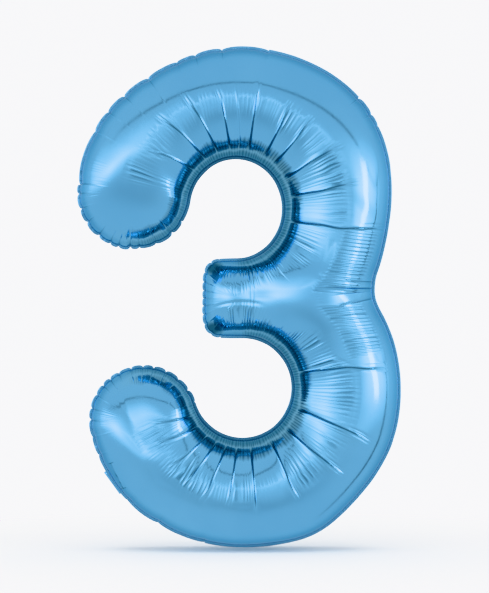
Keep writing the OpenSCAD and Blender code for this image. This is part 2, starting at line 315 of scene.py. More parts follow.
def end_fall(digit, plan, crest):
    """Share of the height that is left where the two ends round off."""
    share = np.ones(len(plan))
    for bowl in (digit.upper, digit.lower):
        start = bowl.middle(bowl.end - bowl.side * digit.END_START)
        length = np.linalg.norm(bowl.middle(bowl.end) - start)
        u = (plan - start) @ (bowl.side * bowl.tangent(bowl.end, bowl.stroke / 2)) / length
        a, _ = bowl.polar(crest)
        mine = (bowl.side * a > abs(bowl.end) - digit.END_START - 8) & (
            (crest[:, 1] - digit.arm_z) * bowl.side > 0) & (crest[:, 0] < 0)
        share = np.where(mine, share - digit.END_FALL[bowl.side] * np.clip(u, 0, 2.4) ** 2, share)
    return share


def soften(values, reach):
    """Values round a closed line, averaged with their neighbours."""
    kernel = np.hanning(2 * reach + 1)
    ring = np.concatenate([values[-reach:], values, values[:reach]])
    return np.convolve(ring, kernel / kernel.sum(), "valid")


def outward(seam):
    """Unit vectors in the plan that point out of a closed seam line."""
    along = unit(np.roll(seam, -1, 0) - np.roll(seam, 1, 0))
    return np.stack([-along[:, 1], along[:, 0]], 1)


# ---------------------------------------------------------------- wrinkles
#
# Distances are in millimetres. Round a bowl, a is the angle in degrees and rho the place across
# the stroke, from 0 at the counter to 1 at the outer edge. A lift moves a point out along the
# foil's normal. Painted shade is 0 on open foil and 1 at the dark bottom of a crease.

def wave_noise(x, seed, period=1.0):
    """Smooth noise in one direction, from -1 to 1, with a knot every period."""
    x = np.asarray(x, float) / period
    knots = np.random.default_rng(seed).uniform(-1, 1, 4096)
    cell = np.floor(x).astype(int)
    t = smooth(x - cell)
    return knots[cell % 4096] * (1 - t) + knots[(cell + 1) % 4096] * t


# A main crease: its angle at the counter and at its far end, how far across the stroke it
# reaches, and its depth as a share of the crease depth
Crease = namedtuple("Crease", "root tip reach depth")
UPPER_CREASES = [Crease(*row) for row in (
    (137, 148, 0.50, 0.9), (122, 131, 0.62, 1.0), (108, 115, 0.64, 1.0), (95, 99, 0.60, 1.0),
    (86, 90, 0.62, 0.35), (77, 79, 0.66, 1.1), (60, 61, 0.60, 1.0), (48, 48, 0.60, 1.0),
    (30, 30, 0.64, 1.2), (11, 11, 0.66, 1.1), (-14, -8, 0.93, 1.3))]
LOWER_CREASES = [Crease(*row) for row in (
    (16, 8, 0.88, 1.2), (-19, -22, 0.80, 1.1), (-42, -40, 0.76, 1.2), (-61, -63, 0.66, 1.1),
    (-81, -84, 0.68, 1.2), (-95, -98, 0.60, 0.9), (-105, -111, 0.62, 0.9),
    (-115, -122, 0.55, 0.9), (-126, -134, 0.52, 0.8), (-139, -148, 0.46, 0.8),
    (-151, -160, 0.42, 0.7))]
GORE_SPAN = 34.0  # a gore this wide has the full gore rise
GROOVE_WIDTH, SHADE_WIDTH = 0.9, 1.7  # of a crease's groove, and of the shade painted along it
# Short sharp ridges where a crease runs out, as (distance from its line, height)
RUN_OUT_RIDGES = ((-3.2, 0.9), (2.4, 1.1), (6.4, 0.7))


def crease_field(bowl, creases, a, rho, shape, seed):
    """Grooves along the main creases, and the bulge of the gores between them."""
    order = sorted(creases, key=lambda c: c.root)
    lines = [c.root + (c.tip - c.root) * np.clip(rho / c.reach, 0, 1.3)
             + 0.5 * wave_noise(rho, seed + i, 0.17) for i, c in enumerate(order)]
    radius = np.linalg.norm(bowl.counter) / math.sqrt(2) + rho * bowl.stroke
    per_degree = math.pi / 180 * radius
    lift, painted_shade = np.zeros_like(a), np.zeros_like(a)
    sides = list(zip(lines, order))
    for (low, low_c), (high, high_c) in zip(sides, sides[1:]):
        span = np.maximum(high - low, 1e-3)
        s = (a - low) / span
        inside = (s > 0) & (s < 1)
        reach = low_c.reach + (high_c.reach - low_c.reach) * smooth(s)
        body = ramp(rho, -0.02, 0.16) * (1 - ramp(rho, reach - 0.16, reach + 0.03))
        size = np.minimum(span * per_degree / GORE_SPAN, 1.4)
        arch = 1 - np.abs(2 * np.clip(s, 0, 1) - 1) ** 3.0
        lift += np.where(inside, arch * body * size * shape.gore_rise / MM, 0)
    for line, c in sides:
        gap = (a - line) * per_degree
        body = ramp(rho, 0.02, 0.14) * (1 - ramp(rho, c.reach - 0.16, c.reach))
        groove = body * np.exp(-np.abs(gap) / GROOVE_WIDTH)
        lift -= c.depth * shape.crease_depth / MM * groove
        # shade painted along each crease's groove
        painted_shade = np.maximum(painted_shade, min(c.depth, 1.0) * body * bell(gap, 0, SHADE_WIDTH))
        fade = (ramp(rho, c.reach - 0.26, c.reach - 0.14)
                * (1 - ramp(rho, c.reach - 0.04, c.reach + 0.04)))
        for shift, size in RUN_OUT_RIDGES:
            lift += size * min(c.depth, 1.0) * fade * np.exp(-np.abs(gap - shift) / 1.1)
    return lift, painted_shade


def ridges(phase):
    """A row of sharp ridges with round valleys between them, from -0.4 to 0.6."""
    return 0.6 - np.abs(np.sin(math.pi * phase)) ** 0.75


PLEAT_PITCH = 2.35  # degrees round a bowl
SHADE_PER_VALLEY = -2.6  # a valley of a row of ridges, times this, is the shade painted into it


def pleat_field(bowl, a, rho, far, shape, seed):
    """Fine pleats that fan out from a bowl's counter to the place far across the stroke."""
    phase = a / PLEAT_PITCH + 0.55 * wave_noise(a, seed, 5.0) + 0.35 * wave_noise(a, seed + 1, 1.9)
    phase = phase + 0.22 * wave_noise(rho * 9 + a * 0.11, seed + 2, 1.0) * rho
    cell = np.floor(phase + 0.5)
    length = 0.5 + 0.5 * wave_noise(cell, seed + 3, 0.83)
    strength = 0.60 + 0.40 * wave_noise(cell, seed + 4, 2.3)
    patch = ramp(wave_noise(a, seed + 5, 9.0) + 0.5 * wave_noise(rho, seed + 6, 0.11), -0.7, 0.5)
    end = far - 0.05 + 0.05 * length
    band = ramp(rho, end - 0.30, end - 0.14) * (1 - ramp(rho, end - 0.02, end + 0.012))
    stitch = (0.8 + 0.5 * ridges(phase)) * np.exp(-((rho - far) * bowl.stroke / 2.4) ** 2) * patch
    root = ramp(rho, -0.01, 0.05) * (1 - ramp(rho, 0.12, 0.22))
    between = 0.60 * ramp(rho, 0.12, 0.2) * (1 - ramp(rho, end - 0.05, end)) * patch
    fan = strength * (band * (0.6 + 0.4 * patch) + between)
    wave = ridges(phase)
    # shade painted in the pleats' valleys
    painted_shade = 0.60 * np.clip(SHADE_PER_VALLEY * wave, 0, 1) * fan
    return shape.pleat_depth / MM * (wave * (fan + 0.12 * root) + stitch), painted_shade


# Soft edges on the foil, as (points in millimetres, height, width)
FACETS = (
    (((-205, 290), (-178, 194), (-141, 116), (-64, 82)), 1.2, 14),
    (((137, 466), (159, 523)), 1.3, 4),
    (((137, 466), (134, 440), (136, 418), (155, 399)), 0.5, 3),
)
# The lower end leans over beyond a line, round a place, in a direction
LEAN_FROM, LEAN_AT, LEAN_WAY = (-184, 222), (-150, 232), np.array([0.80, 0.60])
LEAN_SLOPE, LEAN_REACH, LEAN_SPREAD = 0.14, 70, 62
# The valve shows through as a short straight crease with a bend at each end: (points, depth)
VALVE_TRACE = (
    (((-219, 147), (-198, 104)), 1.2),
    (((-223, 146), (-215, 149)), 0.6),
    (((-203, 102), (-193, 106)), 0.6),
)
# Creases that run in from the waist, as (start, end, depth)
WAIST_CREASES = (
    ((232, 445), (132, 447), 1.5), ((230, 428), (160, 413), 1.1), ((232, 456), (175, 458), 0.7))
ARM_CREASES = ((17, 0.9), (22, 0.7))  # across the arm, as (x, depth)
JUNCTION_CALM = (86, 62)  # half sizes of the ellipse round the junction that has no pleats
WAIST_PITCH = 5.9  # from one pleat to the next at the waist
SHORT_PLEATS = ((-250, 641), (-248, 590), (-233, 228), (-160, 268))  # places on the edge


def turned(creases, most, rng):
    """The same creases, each end turned by up to most degrees, so that the two foils differ."""
    return [c._replace(root=c.root + most * rng.uniform(-1, 1),
                       tip=c.tip + most * rng.uniform(-1, 1)) for c in creases]


def bowl_wrinkles(digit, bowl, creases, plan, shape, seed):
    """Main creases, gores and pleats of one bowl."""
    a, rho = bowl.polar(plan)
    past = bowl.side * a  # degrees towards the bowl's end
    height = bowl.side * (plan[:, 1] - digit.arm_z)
    ring = (height > -30) & (rho > -0.05) & (rho < 1.05)
    lift, painted_shade = crease_field(bowl, creases, a, rho, shape, seed + 40)
    far = 0.60 - 0.20 * (1 - ramp(past, -22, -8)) - 0.08 * (1 - ramp(past, -56, -36))
    pleats, valleys = pleat_field(bowl, a, rho, far, shape, seed + 70 + bowl.side)
    junction = np.linalg.norm((plan - digit.junction) / JUNCTION_CALM, axis=1)
    fade = ((1 - ramp(past, abs(bowl.end) - 12, abs(bowl.end) + 2))
            * (ramp(past, -112, -98) * ramp(junction, 0.75, 1.05)))
    strong = 1 + 1.5 * (1 - ramp(past, -60, -30))
    lift += fade * strong * pleats
    painted_shade = np.maximum(painted_shade, fade * valleys)
    # fine pleats square to the waist, on the outer half of the stroke
    slant = 8 if bowl.side > 0 else 14
    band = (ramp(-past, slant, slant + 3) * (1 - ramp(-past, 48, 54))
            * ramp(rho, 0.555, 0.575) * (1 - ramp(rho, 0.86, 0.89)) * ramp(height, 7, 17))
    z = plan[:, 1] + 0.10 * (plan[:, 0] - 190) * bowl.side
    wave = ridges(z / WAIST_PITCH + 0.4 * wave_noise(z, seed + 5, 14))
    weak = 0.75 + 0.25 * wave_noise(z, seed + 9, 6.6)
    lift += band * wave * weak * 2.2 * shape.pleat_depth / MM
    # shade painted in the valleys of the pleats at the waist
    painted_shade = np.maximum(painted_shade, 0.66 * band * weak * np.clip(SHADE_PER_VALLEY * wave, 0, 1))
    return np.where(ring, lift, 0), np.where(ring, painted_shade, 0)


def foil_wrinkles(digit, plan, shape, seed, turn):
    """Height of every wrinkle over the smooth foil, and how much shade is painted at each point."""
    lift, painted_shade = np.zeros(len(plan)), np.zeros(len(plan))

    # a crease is pressed in, and shade of the given strength is painted along it
    def crease(near, depth, shade):
        nonlocal lift, painted_shade
        lift = lift - depth * near
        painted_shade = np.maximum(painted_shade, shade * near)

    for bowl, creases in ((digit.upper, UPPER_CREASES), (digit.lower, LOWER_CREASES)):
        rng = np.random.default_rng(seed + 20 + 11 * bowl.side)
        raised, painted_fold_shade = bowl_wrinkles(
            digit, bowl, turned(creases, turn, rng), plan, shape, seed)
        lift, painted_shade = lift + raised, np.maximum(painted_shade, painted_fold_shade)
    for start, end, depth in WAIST_CREASES:
        crease(line_crease(plan, start, end, 1.2), 1.7 * depth, 0.8)
    for points, height, width in FACETS:
        lift += height * np.exp(-distance_to(plan, points) / width)
    lean = np.clip((plan - LEAN_FROM) @ LEAN_WAY, 0, LEAN_REACH)
    lift -= LEAN_SLOPE * lean * bell(np.linalg.norm(plan - LEAN_AT, axis=1), 0, LEAN_SPREAD)
    for points, depth in VALVE_TRACE:
        crease(np.exp(-distance_to(plan, points) / 0.9), depth, 1.0)
    for x, depth in ARM_CREASES:
        near = line_crease(plan, (x, digit.arm_z + 60), (x + 2, digit.arm_z - 60), 1.1,
                           wander=1.6, seed=seed + x)
        crease(near, 1.5 * depth, 0.6)
    # a long soft ridge along the arm, which bends up to the corner of the tip
    x = plan[:, 0]
    height = digit.arm_z + 6.5 + 16 * np.exp(-(x + 56) / 18) + 0.0006 * (x - 10) ** 2
    lift += 0.4 * bell(plan[:, 1], height, 6.0) * ramp(x, -60, -45) * (1 - ramp(x, 60, 105))
    return lift, painted_shade


def distance_to(plan, points):
    """Distance from each point of the plan to a line through some points."""
    best = np.full(len(plan), 1e6)
    for start, end in zip(np.array(points[:-1], float), np.array(points[1:], float)):
        along = end - start
        t = np.clip((plan - start) @ along / (along @ along), 0, 1)
        best = np.minimum(best, np.linalg.norm(plan - start - t[:, None] * along, axis=1))
    return best


def line_crease(plan, start, end, width, wander=0.0, seed=0):
    """How near each point is to a straight line in the plan, from 0 to 1; it fades at both ends."""
    start, end = np.array(start, float), np.array(end, float)
    length = np.linalg.norm(end - start)
    along = (end - start) / length
    d = plan - start
    t = d @ along / length
    off = d @ np.array([-along[1], along[0]]) + wander * wave_noise(t, seed, 0.2)
    fade = ramp(t, -0.02, 0.12) * (1 - ramp(t, 0.80, 1.02))
    return fade * np.exp(-np.abs(off) / width)


# Where the seam is drawn in, as angles: round each bowl, round each end and round the arm's tip
NOTCHES = {
    "upper": ((151, 143, 135, 124, 112, 105, 95, 78, 42, 35, 30), 0.85),
    "upper_end": ((156, 169, 182, 197, 212, 230, 244, 253, 265, 274, 292, 313, 328), 1.0),
    "lower": ((-172, -163, -155, -147, -136, -122, -104), 0.5),
    "lower_end": ((179, 167, 151, 139, 129, 118, 104, 91, 79, 65, 50, 34, 18), 1.0),
    "arm": ((98, 112, 127, 142, 160, 180, 200, 218, 233, 248, 262), 0.7),
}


def edge_puckers(digit, seam, part, seed):
    """Distance along the seam, its length, and the notches as (distance, size)."""
    step = np.linalg.norm(np.roll(seam, -1, 0) - seam, axis=1)
    q = np.concatenate([[0], np.cumsum(step)[:-1]])
    up, low = digit.upper, digit.lower
    zones = {
        "upper": (up.centre, (UPPER_OUTER,)),
        "lower": (low.centre, (LOWER_OUTER,)),
        "upper_end": (up.middle(up.end), (UPPER_END_OUT, UPPER_END_IN)),
        "lower_end": (low.middle(low.end), (LOWER_END_OUT, LOWER_END_IN)),
        "arm": (np.array([up.centre[0] - digit.ARM_TIP / 3, digit.arm_z]), (ARM_END,))}
    rng = np.random.default_rng(seed)
    notches = []
    for name, (angles, size) in NOTCHES.items():
        centre, parts = zones[name]
        places = np.nonzero(np.isin(part, parts))[0]
        d = seam[places] - centre
        have = np.degrees(np.arctan2(d[:, 1], d[:, 0]))
        for angle in angles:
            miss = np.abs((have - angle + 180) % 360 - 180)
            if miss.min() < 3:
                notches.append((q[places[miss.argmin()]], size * rng.uniform(0.75, 1.25)))
    return q, step.sum(), sorted(notches)


def notch_profile(q, total, notches):
    """For each seam point between two notches: how far it bulges (0 to 1), the notches' size,
    its share of the way from one to the next, and the distance between them."""
    places = np.array([n[0] for n in notches])
    sizes = np.array([n[1] for n in notches])
    i = np.searchsorted(places, q, side="right") - 1
    j = (i + 1) % len(places)
    gap = (places[j] - places[i]) % total
    s = ((q - places[i]) % total) / np.maximum(gap, 1e-6)
    near_size = sizes[i] * (1 - s) + sizes[j] * s
    bulge = 1 - np.abs(2 * np.clip(s, 0, 1) - 1) ** 3
    return bulge, near_size, s, gap


# ---------------------------------------------------------------- meshes

VALVE_SEAM = (-214.2, 113.9)  # where the valve's middle line crosses the seam
# Steps along each bowl, along the arm and round each quarter of an end; rows up to the crest
N_BOWL, N_ARM, N_END, N_ROWS = 800, 110, 110, 38
# Half sizes of the places that are levelled: the junction, and each end
JUNCTION_LEVEL, END_LEVEL = (84, 66), (74, 74)
END_FULLNESS = 2.2  # how much flatter on top the ends are than the tubes
# How much each stretch of the seam is a steep wall round a counter, which gets painted shade and
# painted reflection
WALL_SHARE = {LOWER_INNER: 1.0, UPPER_INNER: 1.0, ARM_FOOT: 0.85, ARM_TOP: 0.85,
              LOWER_END_IN: 0.8, UPPER_END_IN: 0.8}
# The corners of the arm's tip, which get painted shade: along from the upper bowl's middle, and up
# or down from the arm's
TIP_CORNERS = (-39, 52)
BACK_TURN = 3.0  # degrees by which the back foil's creases differ from the front's
# The rings of the sealed edge: (share of its width, half thickness, share of the ruffle)
SEAL_RINGS = ((-0.16, 0.25, 0), (0.10, 0.32, 0.15), (0.5, 0.30, 0.6), (0.93, 0.28, 1.0))
SEAL_LIP = (1.0, 1.05)  # share of the width and of the ruffle where the two sides meet
SEAM_REACH = 20  # how far in from the seam the foil follows its ruffles and notches
RELAX_STRENGTH, RELAX_ROUNDS = 60, 2


def add_attribute(mesh, name, values):
    """Gives each point a value that a material can read."""
    mesh.attributes.new(name, "FLOAT", "POINT").data.foreach_set("value", values)


def select_only(piece):
    bpy.ops.object.select_all(action="DESELECT")
    piece.select_set(True)
    bpy.context.view_layer.objects.active = piece


def new_mesh(name, points, faces):
    mesh = bpy.data.meshes.new(name)
    mesh.from_pydata([tuple(p) for p in points], [], faces)
    mesh.update()
    piece = bpy.data.objects.new(name, mesh)
    bpy.context.scene.collection.objects.link(piece)
    mesh.polygons.foreach_set("use_smooth", [True] * len(mesh.polygons))
    return piece


def set_outward(piece):
    """Turns every face of a closed piece outwards."""
    select_only(piece)
    bpy.ops.object.mode_set(mode="EDIT")
    bpy.ops.mesh.select_all(action="SELECT")
    bpy.ops.mesh.normals_make_consistent(inside=False)
    bpy.ops.object.mode_set(mode="OBJECT")


class Envelope:
    """Seam, crest and rows that the two foils and the sealed edge share."""

    def __init__(self, shape):
        self.shape = shape
        self.digit = Digit(shape)
        self.seam, self.index, self.crest, self.rise, self.part = self.digit.ribs(
            N_BOWL, N_ARM, N_END)
        self.out = outward(self.seam)
        self.q, total, notches = edge_puckers(self.digit, self.seam, self.part, 3)
        bulge, size, s, gap = notch_profile(self.q, total, notches)
        # the edge lies flat where the valve comes out through it
        flat = ramp(np.linalg.norm(self.seam - VALVE_SEAM, axis=1), 24, 48)
        size = size * (1 - ramp(gap, 90, 150)) * flat
        self.notch = (size, s, gap, bulge)
        # the seam stands out between two notches and is drawn in at each one
        self.shift = (bulge - 0.6) * size * (1.2 + 0.045 * np.minimum(gap, 70))
        ruffle = 0.55 * wave_noise(self.q, 5, 9.0) + 0.35 * wave_noise(self.q, 6, 3.7)
        self.wander = 0.35 * wave_noise(self.q, 7, 30.0) * flat + 0.5 * ruffle * size
        self.ruffle = ruffle * (0.05 * flat + 0.55 * size)
        # the two ends are flatter on top and fall off more steeply than the tubes
        ends = np.isin(self.part, (UPPER_END_OUT, LOWER_END_OUT, LOWER_END_IN, UPPER_END_IN))
        self.fullness = 2 + END_FULLNESS * soften(ends.astype(float), 90)
        # share of painted shade and painted reflection next to each seam point, along the counters'
        # walls
        share = np.array([WALL_SHARE.get(k, 0.0) for k in range(UPPER_END_IN + 1)])
        self.wall_painted_light = soften(share[self.part], 50)

    def foil(self, name, facing, seed, turn):
        """One foil: facing is -1 for the front, which looks along -Y, and 1 for the back."""
        piece = new_mesh(name, self.blown_up(facing) * MM, self.faces(facing))
        self.relax(piece)
        mesh = piece.data
        points = np.empty((len(mesh.vertices), 3))
        mesh.vertices.foreach_get("co", points.reshape(-1))
        self.level(points, self.digit.junction, JUNCTION_LEVEL)
        for bowl in (self.digit.upper, self.digit.lower):
            self.level(points, bowl.middle(bowl.end), END_LEVEL)
        mesh.vertices.foreach_set("co", points.ravel())
        mesh.update()
        self.wrinkle(piece, points / MM, seed, turn)
        return piece

    def blown_up(self, facing):
        """Points of the smooth shape: a row from each seam point up to its crest point."""
        n, rows = len(self.seam), N_ROWS
        phi = 90 * np.arange(rows) / rows
        top = self.crest[self.index]
        plan = (self.seam[:, None]
                + (top - self.seam)[:, None] * (1 - cos_deg(phi))[None, :, None])
        # the arm's tip is round on top although its outline is square
        off = (self.seam - top) / (self.digit.ARM_TIP, self.digit.ARM_H / 2)
        square = np.where(self.part == ARM_END, (off ** 2).sum(1), 1.0)[:, None]
        near_edge = cos_deg(phi)[None] ** 4
        flat = (cos_deg(phi)[None] ** self.fullness[:, None]
                * (near_edge + square * (1 - near_edge)))
        high = self.rise[self.index][:, None] * np.sqrt(np.clip(1 - flat, 0, 1))
        high = high * end_fall(self.digit, plan.reshape(-1, 2),
                               np.repeat(top, rows, axis=0)).reshape(n, rows)
        self.inward = np.linalg.norm(plan - self.seam[:, None], axis=2)
        near = bell(self.inward, 0, SEAM_REACH)
        plan = plan + (self.out * self.shift[:, None])[:, None] * near[..., None]
        y = facing * high + self.wander[:, None] * near
        ridge = facing * self.rise * end_fall(self.digit, self.crest, self.crest)
        return np.concatenate([
            np.stack([plan[..., 0], y, plan[..., 1]], -1).reshape(-1, 3),
            np.stack([self.crest[:, 0], ridge, self.crest[:, 1]], -1)])

    def faces(self, facing):
        """Quads between neighbouring rows, and the last faces up to the crest line."""
        n, rows = len(self.seam), N_ROWS
        i = np.arange(n)
        j = (i + 1) % n
        k = np.arange(rows - 1)
        a = (i[:, None] * rows + k).ravel()
        b = (j[:, None] * rows + k).ravel()
        quads = np.stack([a, a + 1, b + 1, b], 1)
        crest_i, crest_j = n * rows + self.index[i], n * rows + self.index[j]
        last_i, last_j = i * rows + rows - 1, j * rows + rows - 1
        ends = [[p, r, t, u] if r != t else [p, r, u]
                for p, r, t, u in zip(last_i, crest_i, crest_j, last_j)]
        faces = [list(map(int, f)) for f in list(quads) + ends]
        return [f[::-1] for f in faces] if facing < 0 else faces

    def relax(self, piece):
        """Evens out the bends where the strokes meet and end, as the gas does."""
        calm = np.ones(len(piece.data.vertices))
        calm[:self.inward.size] = ramp(self.inward.ravel(), 22, 50)
        group = piece.vertex_groups.new(name="calm")
        for share in np.linspace(0.1, 1, 10):
            inside = np.nonzero((calm > share - 0.1) & (calm <= share))[0]
            group.add(inside.tolist(), float(share), "REPLACE")
        even = piece.modifiers.new("even", "LAPLACIANSMOOTH")
        even.iterations = RELAX_ROUNDS
        even.lambda_factor = RELAX_STRENGTH
        even.lambda_border = 0
        even.use_volume_preserve = False
        even.vertex_group = "calm"
        bpy.context.view_layer.objects.active = piece
        bpy.ops.object.modifier_apply(modifier="even")
        piece.vertex_groups.clear()

    def level(self, points, at, reach):
        """One smooth rise where strokes meet or end: a quartic fitted to what lies around it."""
        x, z = ((points[:, [0, 2]] / MM - at) / reach).T
        r = np.hypot(x, z)
        terms = np.stack([x ** i * z ** j for i in range(5) for j in range(5 - i)], 1)
        around = (r > 0.55) & (r < 1.15)
        fit = np.linalg.lstsq(terms[around], points[around, 1], rcond=None)[0]
        share = np.where(r < 1.1, 1 - ramp(r, 0.5, 1.05), 0)
        points[:, 1] += share * (terms @ fit - points[:, 1])

    def wrinkle(self, piece, points, seed, turn):
        """Moves each point along its normal, and notes how much shade and reflection is painted on
        it.
        """
        mesh = piece.data
        normals = np.empty(len(points) * 3)
        mesh.vertices.foreach_get("normal", normals)
        plan = points[:, [0, 2]]
        lift, painted_shade = foil_wrinkles(self.digit, plan, self.shape, seed, turn)
        wall_painted_light = np.zeros(len(points))
        rib = np.repeat(np.arange(len(self.seam)), N_ROWS)
        rows = slice(0, len(rib))  # all points but those of the crest line
        q, e = self.q[rib], self.inward.ravel()
        raised, painted_fold_shade = self.puckers(plan[rows], rib, q, e, seed)
        lift[rows] += raised
        painted_shade[rows] = np.maximum(painted_shade[rows], painted_fold_shade)
        # shade is painted on the steep wall round each counter, with a lighter line along it
        edge = e * (1 + 0.12 * wave_noise(q, seed + 51, 23.0)) + 1.3 * wave_noise(q, seed + 52, 5.0)
        dark = (1 - ramp(edge, 22, 36)) * (1 - 0.5 * bell(edge, 10.5, 2.4))
        # the painted shade is broken into strokes, like pleats running through it
        strokes = ridges(q / 4.2 + 0.7 * wave_noise(q, seed + 53, 9.0))
        dark = dark * (0.74 + 0.42 * strokes)
        painted_shade[rows] = np.maximum(painted_shade[rows], self.wall_painted_light[rib] * dark)
        # painted reflection of the foil in itself, on the walls
        wall_painted_light[rows] = self.wall_painted_light[rib] * (1 - ramp(e, 18, 30))
        # painted shade and painted reflection at the corners of the arm's tip
        across, up = TIP_CORNERS
        corners = sum(bell(plan[:, 0], self.digit.upper.centre[0] + across, 17)
                      * bell(plan[:, 1], self.digit.arm_z + at, 12) for at in (-up, up))
        corners = np.clip(1.3 * corners, 0, 1)
        painted_shade = np.maximum(painted_shade, 0.95 * corners)
        wall_painted_light = np.maximum(wall_painted_light, corners)
        # wrinkles end at the seam, where the two foils meet
        lift[rows] *= ramp(e, 0.0, 4.0)
        moved_points = (points + normals.reshape(-1, 3) * lift[:, None]) * MM
        mesh.vertices.foreach_set("co", moved_points.ravel())
        add_attribute(mesh, "painted_shade", painted_shade)
        add_attribute(mesh, "wall_painted_light", wall_painted_light)
        mesh.update()

    def puckers(self, plan, rib, q, e, seed):
        """Short creases that run in from each notch of the edge, the swells between them, and the
        shade painted in each crease.
        """
        size, s, gap, bulge = (x[rib] for x in self.notch)
        dist = np.minimum(s, 1 - s) * gap
        reach = 13 + 6 * np.minimum(gap, 60) / 20 * (0.8 + 0.4 * wave_noise(q, seed + 31, 15))
        nick = np.exp(-dist / 1.3) * np.exp(-(e / reach) ** 2)
        swell = 0.5 * bulge * np.exp(-(e / (reach * 0.8)) ** 2)
        where = sum(bell(np.linalg.norm(plan - at, axis=1), 0, 17) for at in SHORT_PLEATS)
        fine = 0.55 * ridges(q / 4.6 + 0.5 * wave_noise(q, 17, 11)) * where * ramp(e, 5, 11)
        lift = self.shape.pucker_depth / MM * size * (swell - nick) + fine
        return lift, 0.8 * np.minimum(size, 1) * nick

    def seal(self, name):
        """The welded edge: a thin ruffled strip outside the seam, closed all round."""
        n = len(self.seam)
        size, s, gap, _ = self.notch
        width = self.digit.flange * (0.94 + 0.06 * wave_noise(self.q, 8, 21.0))
        width = width - 1.5 * size * np.exp(-np.minimum(s, 1 - s) * gap / 1.5)
        seam = self.seam + self.out * self.shift[:, None]

        def ring(share, half, ruffle):
            plan = seam + self.out * (width * share)[:, None]
            y = self.wander + self.ruffle * ruffle + half
            return np.stack([plan[:, 0], y, plan[:, 1]], -1)

        loop = ([ring(share, -half, ruffle) for share, half, ruffle in SEAL_RINGS]
                + [ring(SEAL_LIP[0], 0.0, SEAL_LIP[1])]
                + [ring(share, half, ruffle) for share, half, ruffle in SEAL_RINGS[::-1]])
        points = np.stack(loop, 1)
        m = len(loop)
        i = np.arange(n) * m
        j = np.roll(i, -1)
        faces = np.concatenate([
            np.stack([i + k, i + (k + 1) % m, j + (k + 1) % m, j + k], 1) for k in range(m)])
        piece = new_mesh(name, points.reshape(-1, 3) * MM, faces.tolist())
        # painted shade on the seal where it runs round a counter's wall
        add_attribute(piece.data, "painted_shade", np.repeat(0.7 * self.wall_painted_light, m))
        return piece


# ---------------------------------------------------------------- materials

class Value:
    """A socket that can be used in sums, so that shader maths reads as maths."""

    def __init__(self, nodes, socket):
        self.nodes, self.socket = nodes, socket

    def _math(self, operation, a, b):
        return self.nodes.add("ShaderNodeMath", {0: a, 1: b}, operation=operation)

    def __add__(self, other):
        return self._math("ADD", self, other)

    __radd__ = __add__

    def __mul__(self, other):
        return self._math("MULTIPLY", self, other)

    __rmul__ = __mul__

    def __sub__(self, other):
        return self._math("SUBTRACT", self, other)

    def __rsub__(self, other):
        return self._math("SUBTRACT", other, self)


class Nodes:
    """Builds the nodes of one material or world."""

    def __init__(self, name, kind="materials"):
        self.owner = getattr(bpy.data, kind).new(name)
        self.owner.use_nodes = True
        self.tree = self.owner.node_tree
        self.tree.nodes.clear()

    def add(self, kind, values=None, out=0, **settings):
        """One node: its settings, then the values or links of its sockets; gives one output."""
        node = self.tree.nodes.new(kind)
        for key, value in settings.items():
            setattr(node, key, value)
        for key, value in (values or {}).items():
            socket = node.inputs[key]
            if isinstance(value, Value):
                self.tree.links.new(value.socket, socket)
            else:
                socket.default_value = value
        return Value(self, node.outputs[out])

    def attribute(self, name):
        return self.add("ShaderNodeAttribute", out="Fac", attribute_name=name)

    def mix_colour(self, factor, a, b):
        """Colours are (red, green, blue) or a Value; the Mix node's colour sockets are 6 and 7."""
        a, b = (c if isinstance(c, Value) else (*c, 1) for c in (a, b))
        return self.add("ShaderNodeMix", {0: factor, 6: a, 7: b}, out=2, data_type="RGBA")

    def noise(self, place, scale, detail=2.0, roughness=0.5, distortion=0.0):
        return self.add("ShaderNodeTexNoise", {
            "Vector": place, "Scale": scale, "Detail": detail, "Roughness": roughness,
            "Distortion": distortion})

    def remap(self, value, low, high, to_low=0.0, to_high=1.0):
        return self.add("ShaderNodeMapRange", {
            "Value": value, "From Min": low, "From Max": high, "To Min": to_low, "To Max": to_high})

    def bump(self, height, strength, distance):
        return self.add("ShaderNodeBump", {
            "Height": height, "Strength": strength, "Distance": distance})

    def bell(self, value, at, width):
        """A bell round one value."""
        away = (value - at) * (1 / width)
        return self.add("ShaderNodeMath", {0: away * away * -1}, operation="EXPONENT")

    def finish(self, shader):
        kind = "World" if isinstance(self.owner, bpy.types.World) else "Material"
        out = self.tree.nodes.new("ShaderNodeOutput" + kind)
        self.tree.links.new(shader.socket, out.inputs["Surface"])
        return self.owner


PAINTED_SHADE_COLOUR = (0.022, 0.092, 0.165)  # painted shade, for the bottoms of creases and folds, where little light gets in
PAINTED_WALL_REFLECTION = (0.20, 0.47, 0.66)  # painted reflection on the walls, where the foil sees its own reflection
CRIMP_TONE = 0.56  # brightness of the welded edge's colour, as a share of the foil's


def toned(colour, tone):
    """The same colour at a share of its brightness."""
    return tuple(tone * c for c in colour)


